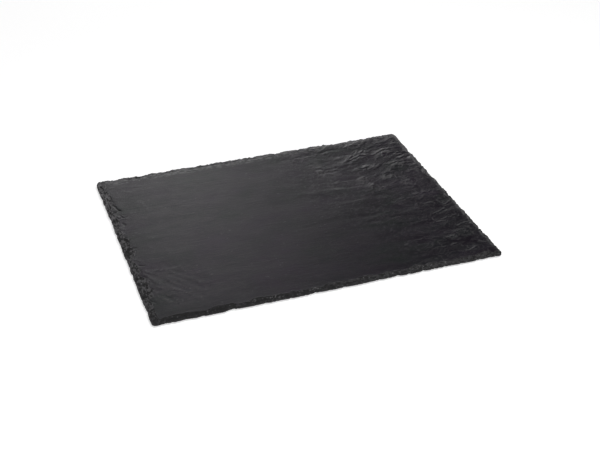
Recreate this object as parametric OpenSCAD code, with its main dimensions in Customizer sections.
// Slate serving board: a riven slate sheet with hand-dressed edges, standing on four stick-on feet.
// The origin is under the middle of the board, on the surface that the feet stand on.
// X runs along the board's long side, which is also the grain of the slate, and Z is up.

/* [Slate sheet] */
// Length of the sheet, along the grain
board_w = 400; // [250:1:500]
// Depth of the sheet, across the grain
board_d = 300; // [200:1:400]
// Thickness of the sheet
board_t = 5; // [4:0.5:8]
// Radius of a typical broken corner
corner_r = 6; // [3:0.5:12]

/* [Dressed edge] */
// Width of the chipped bevel along the front edge, seen from above
front_bevel_w = 5.5; // [4:0.5:10]
// Width of the chipped bevel along the right edge
right_bevel_w = 5; // [4:0.5:10]
// Width of the chipped bevel along the rear edge
rear_bevel_w = 6.5; // [4:0.5:12]
// Width of the chipped bevel along the left edge, which was dressed the hardest
left_bevel_w = 9.5; // [6:0.5:14]
// Thickness of the lip left under the bevel
lip_t = 1.3; // [0.8:0.1:2]
// Distance between the blows that knocked off the small flakes
blow_pitch = 8; // [6:0.5:12]
// Length of the hollow that a small flake leaves, along the edge
small_l = 11; // [8:0.5:16]
// Distance between the broad flakes that broke out among them
broad_pitch = 30; // [20:1:80]
// Length of the hollow that a broad flake leaves, along the edge
broad_l = 21; // [14:1:30]
// Depth of the hollow that one flake leaves in the bevel
hollow_depth = 0.9; // [0.4:0.1:1.4]
// Size of the facets in a hollow, because slate doesn't break smooth
facet = 5; // [4:0.5:8]
// How far the lip's outline wanders in from a straight line
lip_wander = 1.1; // [0.5:0.1:2]

/* [Riven faces] */
// Length of a typical cleavage flake, along the grain
flake_l = 90; // [60:1:130]
// Width of a typical cleavage flake, across the grain
flake_w = 26; // [16:1:36]
// Depth of the step at the edge of a cleavage flake
flake_step = 0.4; // [0.2:0.05:0.6]
// Length of a typical ripple, along the grain
ripple_l = 38; // [24:1:60]
// Width of a typical ripple, across the grain
ripple_w = 9; // [6:0.5:14]
// Depth of the step at the edge of a ripple
ripple_step = 0.35; // [0.2:0.05:0.5]
// Width of the hollow in front of a crest, across the grain
scoop_w = 8; // [5:0.5:12]
// Depth of that hollow at the crest
scoop_step = 0.6; // [0.3:0.05:0.7]
// How ragged a crest is
crest_ragged = 0.8; // [0.4:0.1:1.2]

/* [Feet] */
// Diameter of a foot
foot_d = 20; // [12:1:28]
// Thickness of a foot
foot_t = 2.5; // [1.5:0.25:5]
// Rounding of the foot's lower rim
foot_rim_r = 0.6; // [0.2:0.1:1.2]
// Distance from the board's edges to the middle of a foot
foot_inset = 32; // [26:1:50]
// Thickness of the adhesive disc that holds a foot
adhesive_t = 0.2; // [0.1:0.05:0.5]
// How far the adhesive disc stops short of the foot's rim
adhesive_margin = 0.5; // [0.2:0.1:1.5]

/* [Hidden] */
// Each foot's name, and the sides of the middle that it stands on
FEET = [["front_left", -1, -1], ["front_right", 1, -1], ["rear_left", -1, 1], ["rear_right", 1, 1]];

// Height of the slate's underside above the surface that the board stands on
sheet_z = foot_t + adhesive_t;

// How far a cutting shape runs past the face that it cuts
overrun = board_t;

// Middles of the feet, as steps from the board's middle
foot_x = board_w / 2 - foot_inset;
foot_y = board_d / 2 - foot_inset;

// Radii of the front right, rear right, rear left and front left corners, as shares of the typical one
corner_shares = [0.6, 0.9, 1.4, 0.8];
// Points that break each corner between its two ends
corner_points = 2;
// Distance between the points of the wandering outline, as a share of the distance between blows
wander_share = 1.3;

// Widths of the bevel along the front, right, rear and left edges
bevel_widths = [front_bevel_w, right_bevel_w, rear_bevel_w, left_bevel_w];
// Least and greatest reach of a small flake and of a broad one, as shares of the bevel's width
small_shares = [0.6, 1.15];
broad_shares = [1.1, 1.7];
// Least and greatest length of a flake's hollow, as shares of the typical one
length_shares = [0.7, 1.4];
// Least and greatest lip under a flake, as shares of the lip's thickness
lip_shares = [0.5, 1.6];
// Least and greatest hollow, as shares of its depth
hollow_shares = [0.7, 1.2];
// Turn from each point of a lump to the next, and the most that a point is drawn in, as a share of the radius
golden_angle = 180 * (3 - sqrt(5));
lump_share = 0.12;
// Points of a lump, as a share of the square of its radius over a facet's size, and the least of them
facets_share = 14;
least_lump_points = 10;
// How far a blow strays along the edge, as a share of the distance between blows
stray_share = 0.3;
// Small flakes around each corner
corner_blows = 3;

// Corners of one cleavage flake's outline
flake_fn = 9;
// Least and greatest corner of that outline, as shares of its half sizes
flake_corner_shares = [0.76, 1];
// Least and greatest length or width of a flake, and depth of its step, as shares of the typical one
flake_shares = [0.5, 1.7];
step_shares = [0.35, 1];
// How far a flake turns away from the grain, in degrees
grain_yaw = 13;
// Cleavage flakes on the upper face, ripples on it and flakes on the underside
top_flakes = 40;
top_ripples = 54;
under_flakes = 16;
// Share of the upper face that is rippled, counted from its right end
ripple_share = 0.45;

// Crests at the right end of the upper face, which split the roughest. Each has its step in from the right edge,
// its place across the grain as a share of the board's depth, its length and its turn away from the grain.
CRESTS = [
    [14, 0.29, 20, 18],
    [20, 0.31, 18, 10],
    [16, 0.24, 32, 5],
    [10, 0.21, 19, -3],
    [22, 0.17, 15, 23],
    [10, 0.16, 22, -30],
    [36, 0.10, 14, 3],
    [30, -0.01, 30, 6],
    [6, -0.02, 12, -40],
    [33, -0.09, 16, -1],
    [11, -0.11, 20, 22],
    [30, -0.16, 24, 19],
    [13, -0.16, 20, 23],
    [24, -0.21, 28, 11],
    [37, -0.23, 16, 0],
    [15, -0.27, 23, 15],
    [27, -0.31, 18, 10],
    [41, -0.34, 14, 1],
    [45, -0.39, 12, 12],
    [11, -0.41, 12, -36],
    [30, -0.44, 20, 17]
];
// Distance between the points of a ragged crest, as a share of a facet's size
ragged_share = 0.8;
// Points that round off the front of the hollow
scoop_points = 4;
// Least and greatest depth of that hollow, as shares of the typical one
scoop_shares = [0.6, 1];

// Seeds that keep the natural pattern the same at every build
outline_seed = 5;
edge_seed = 11;
top_seed = 42;
ripple_seed = 63;
crest_seed = 91;
under_seed = 77;

// A value between the two of a pair, at k from 0 to 1
function between(pair, k) = pair[0] + (pair[1] - pair[0]) * k;

// The sheet's sides are numbered anticlockwise from the front, and each ends at the corner of its number.
function corner_at(side) = corner_r * corner_shares[(side + 4) % 4];
function side_length(side) = side % 2 == 0 ? board_w : board_d;
function side_away(side) = (side % 2 == 0 ? board_d : board_w) / 2;

// Where a side's straight run starts and ends, as steps along it from its middle
function run_start(side) = corner_at(side - 1) - side_length(side) / 2;
function run_end(side) = side_length(side) / 2 - corner_at(side);

// The lip's outline along one side, as steps along and inward. It lies on the straight line half the time.
function side_points(side) =
    let (start = run_start(side), run = run_end(side) - start)
    let (n = round(run / (wander_share * blow_pitch)), r = rands(-1, 1, n + 1, outline_seed + side))
    [for (i = [0:n]) [start + run * i / n, i == 0 || i == n ? 0 : lip_wander * max(0, r[i])]];

// The broken corner after that side, in the same steps
function corner_outline(side) =
    let (r = corner_at(side))
    [for (k = [1:corner_points])
        let (a = 90 * k / (corner_points + 1))
        [run_end(side) + r * sin(a), r * (1 - cos(a))]];

// Outline of the whole sheet
function turned(p, angle) = [p.x * cos(angle) - p.y * sin(angle), p.x * sin(angle) + p.y * cos(angle)];
function sheet_outline() = [
    for (side = [0:3], p = concat(side_points(side), corner_outline(side)))
        turned([p.x, p.y - side_away(side)], 90 * side)
];

// Points spread over a ball in a spiral, each drawn in by its own share
function lump_points(r, n, seed) =
    let (drawn = rands(0, lump_share, n, seed), turn = rands(0, golden_angle / 2, n, seed + 1))
    [for (i = [0:n - 1])
        let (z = 1 - (2 * i + 1) / n, a = golden_angle * i + turn[i], across = sqrt(1 - z ^ 2))
        r * (1 - drawn[i]) * [across * cos(a), across * sin(a), z]];

// An angular lump is the hull of such points, and the one face only hands them to it.
module lump(r, seed) {
    n = max(least_lump_points, ceil(facets_share * (r / facet) ^ 2));
    hull() polyhedron(lump_points(r, n, seed), [[for (i = [0:n - 1]) i]]);
}

// The hollow that one flake leaves, as an angular lump drawn out along the edge to the hollow's length. It
// crosses the lip at the origin and the upper face at reach, which counts along +Y, into the board.
module flake_hollow(length, reach, lip, depth, seed) {
    rise = board_t - lip;
    slope = atan(rise / reach);
    half_chord = norm([reach, rise]) / 2;
    ball_r = (half_chord ^ 2 + depth ^ 2) / (2 * depth);
    tumble = rands(0, 360, 2, seed);
    translate([0, reach / 2, lip + rise / 2] + (ball_r - depth) * [0, -sin(slope), cos(slope)])
        scale([length / (2 * half_chord), 1, 1])
            rotate([tumble[0], tumble[1], 0])
                lump(ball_r, seed);
}

// Hollows along one side, about pitch apart
module hollow_row(side, pitch, typical_l, reach_shares, seed) {
    start = run_start(side);
    run = run_end(side) - start;
    n = round(run / pitch);
    r = rands(0, 1, 5 * n, seed);
    for (i = [0:n - 1]) {
        stray = stray_share * (2 * r[5 * i] - 1);
        translate([start + run * (i + 1 / 2 + stray) / n, -side_away(side), 0])
            flake_hollow(
                typical_l * between(length_shares, r[5 * i + 4]),
                bevel_widths[side] * between(reach_shares, r[5 * i + 1]),
                lip_t * between(lip_shares, r[5 * i + 2]),
                hollow_depth * between(hollow_shares, r[5 * i + 3]),
                seed + i
            );
    }
}

// Hollows around the corner that ends one side
module corner_hollows(side, seed) {
    r = rands(0, 1, 2 * corner_blows, seed);
    bevel_w = (bevel_widths[side] + bevel_widths[(side + 1) % 4]) / 2;
    for (i = [0:corner_blows - 1])
        translate([run_end(side), corner_at(side) - side_away(side), 0])
            rotate(90 * (i + 1 / 2) / corner_blows)
                translate([0, -corner_at(side), 0])
                    flake_hollow(
                        small_l,
                        bevel_w * between(small_shares, r[2 * i]),
                        lip_t * between(lip_shares, r[2 * i + 1]),
                        hollow_depth,
                        seed + i
                    );
}

module dressed_edge() {
    for (side = [0:3])
        rotate(90 * side) {
            hollow_row(side, blow_pitch, small_l, small_shares, edge_seed + side);
            hollow_row(side, broad_pitch, broad_l, broad_shares, edge_seed + 4 + side);
            corner_hollows(side, edge_seed + 8 + side);
        }
}

// One cleavage flake, lifted out of a face at height 0: its floor tilts from nothing to a full step.
module cleavage_flake(length, width, step, seed) {
    r = rands(flake_corner_shares[0], flake_corner_shares[1], flake_fn, seed);
    outline = [for (i = [0:flake_fn - 1])
        let (a = 360 * i / flake_fn)
        r[i] / 2 * [length * cos(a), width * sin(a)]];
    rotate([atan(step / width), 0, 0])
        translate([0, 0, -step / 2])
            hull() {
                linear_extrude(height = step) polygon(outline);
                translate([0, 0, overrun])
                    linear_extrude(height = step) offset(delta = step) polygon(outline);
            }
}

// Flakes of a typical length, width and step, spread over a face at height 0 from its right end to share of
// its length. Where clear_feet is true, those that would reach a foot are left out.
module riven_face(count, typical, share, seed, clear_feet = false) {
    r = rands(0, 1, 6 * count, seed);
    for (i = [0:count - 1]) {
        length = typical[0] * between(flake_shares, r[6 * i]);
        width = typical[1] * between(flake_shares, r[6 * i + 1]);
        step = typical[2] * between(step_shares, r[6 * i + 2]);
        x = board_w * (1 / 2 - share * r[6 * i + 3]);
        y = board_d * (r[6 * i + 4] - 1 / 2);
        yaw = grain_yaw * (2 * r[6 * i + 5] - 1);
        reach_x = abs(x) + (length * cos(yaw) + width * abs(sin(yaw))) / 2 + step;
        reach_y = abs(y) + (length * abs(sin(yaw)) + width * cos(yaw)) / 2 + step;
        reaches_foot = reach_x > foot_x - foot_d / 2 && reach_y > foot_y - foot_d / 2;
        if (!(clear_feet && reaches_foot))
            translate([x, y, 0])
                rotate(yaw + 180 * (i % 2))
                    cleavage_flake(length, width, step, seed + i);
    }
}

// The hollow in front of one crest, cut out of a face at height 0. The crest runs along X through the origin,
// and the floor rises from the foot of its steep side to nothing at the hollow's front.
module crest_scoop(length, width, step, seed) {
    n = ceil(length / (ragged_share * facet));
    r = rands(-1, 1, n + 1, seed);
    crest = [for (i = [0:n]) [length * (i / n - 1 / 2), i == 0 || i == n ? 0 : crest_ragged * r[i]]];
    front = [for (k = [1:scoop_points])
        let (a = 180 * k / (scoop_points + 1))
        [length / 2 * cos(a), -width * sin(a)]];
    translate([0, 0, -step])
        rotate([-atan(step / width), 0, 0])
            linear_extrude(height = overrun) polygon(concat(crest, front));
}

// All the crests at the right end, each with its hollow
module hackly_end() {
    r = rands(scoop_shares[0], scoop_shares[1], len(CRESTS), crest_seed);
    for (i = [0:len(CRESTS) - 1]) {
        c = CRESTS[i];
        translate([board_w / 2 - c[0], board_d * c[1], 0])
            rotate(c[3])
                crest_scoop(c[2], scoop_w, scoop_step * r[i], crest_seed + i);
    }
}

// The slate itself: a split sheet, dressed all round, with its two riven faces
module slate_sheet() {
    flake = [flake_l, flake_w, flake_step];
    ripple = [ripple_l, ripple_w, ripple_step];
    color([0.2, 0.2, 0.21])
        translate([0, 0, sheet_z])
            difference() {
                linear_extrude(height = board_t) polygon(sheet_outline());
                dressed_edge();
                translate([0, 0, board_t]) {
                    riven_face(top_flakes, flake, 1, top_seed);
                    riven_face(top_ripples, ripple, ripple_share, ripple_seed);
                    hackly_end();
                }
                mirror([0, 0, 1]) riven_face(under_flakes, flake, 1, under_seed, clear_feet = true);
            }
}

// A foot is a disc of foam rubber with a rounded lower rim
module foot(side_x, side_y) {
    color([0.09, 0.09, 0.09])
        translate([side_x * foot_x, side_y * foot_y, 0])
            rotate_extrude($fn = 64) {
                square([foot_d / 2 - foot_rim_r, foot_t]);
                translate([0, foot_rim_r]) square([foot_d / 2, foot_t - foot_rim_r]);
                translate([foot_d / 2 - foot_rim_r, foot_rim_r]) circle(r = foot_rim_r, $fn = 32);
            }
}

// The thin disc of adhesive between a foot and the slate
module adhesive_disc(side_x, side_y) {
    color([0.75, 0.74, 0.7])
        translate([side_x * foot_x, side_y * foot_y, foot_t])
            cylinder(d = foot_d - 2 * adhesive_margin, h = adhesive_t, $fn = 64);
}

slate_sheet();
for (f = FEET) {
    foot(f[1], f[2]);
    adhesive_disc(f[1], f[2]);
}
